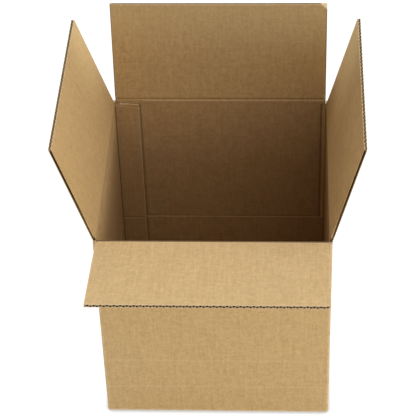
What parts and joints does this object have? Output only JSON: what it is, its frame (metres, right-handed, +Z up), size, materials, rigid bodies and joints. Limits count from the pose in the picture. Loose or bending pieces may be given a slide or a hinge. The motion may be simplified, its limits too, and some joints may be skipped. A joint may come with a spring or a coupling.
{
  "type": "cardboard box",
  "caption": "Open corrugated shipping box, its hinged top flaps standing open, with a glued corner seam inside and a taped bottom.",
  "frame": {"origin": "middle of the box's underside, on the surface that it stands on", "axes": "+X to the right, +Y to the back and +Z up, seen from the side of the front flap"},
  "size_m": [0.3997, 0.4807, 0.4732],
  "materials": {
    "kraft_board": "matte uncoated brown kraft paper with fine fibre mottling",
    "packing_tape": "clear glossy film"
  },
  "bodies": {
    "carton": {"carton_body": "kraft_board", "bottom_tape": "packing_tape"},
    "front_flap": {"front_flap": "kraft_board"},
    "back_flap": {"back_flap": "kraft_board"},
    "left_flap": {"left_flap": "kraft_board"},
    "right_flap": {"right_flap": "kraft_board"}
  },
  "joints": [
    {"name": "front_fold", "type": "hinge", "parent": "carton", "child": "front_flap", "pos_m": [0, -0.1555, 0.3203], "axis": [1, 0, 0], "range_deg": [-170, 70]},
    {"name": "back_fold", "type": "hinge", "parent": "carton", "child": "back_flap", "pos_m": [0, 0.1555, 0.3203], "axis": [-1, 0, 0], "range_deg": [-96.5, 143.5]},
    {"name": "left_fold", "type": "hinge", "parent": "carton", "child": "left_flap", "pos_m": [-0.1555, 0, 0.316], "axis": [0, -1, 0], "range_deg": [-107.5, 132.5]},
    {"name": "right_fold", "type": "hinge", "parent": "carton", "child": "right_flap", "pos_m": [0.1555, 0, 0.316], "axis": [0, 1, 0], "range_deg": [-105, 135]}
  ]
}
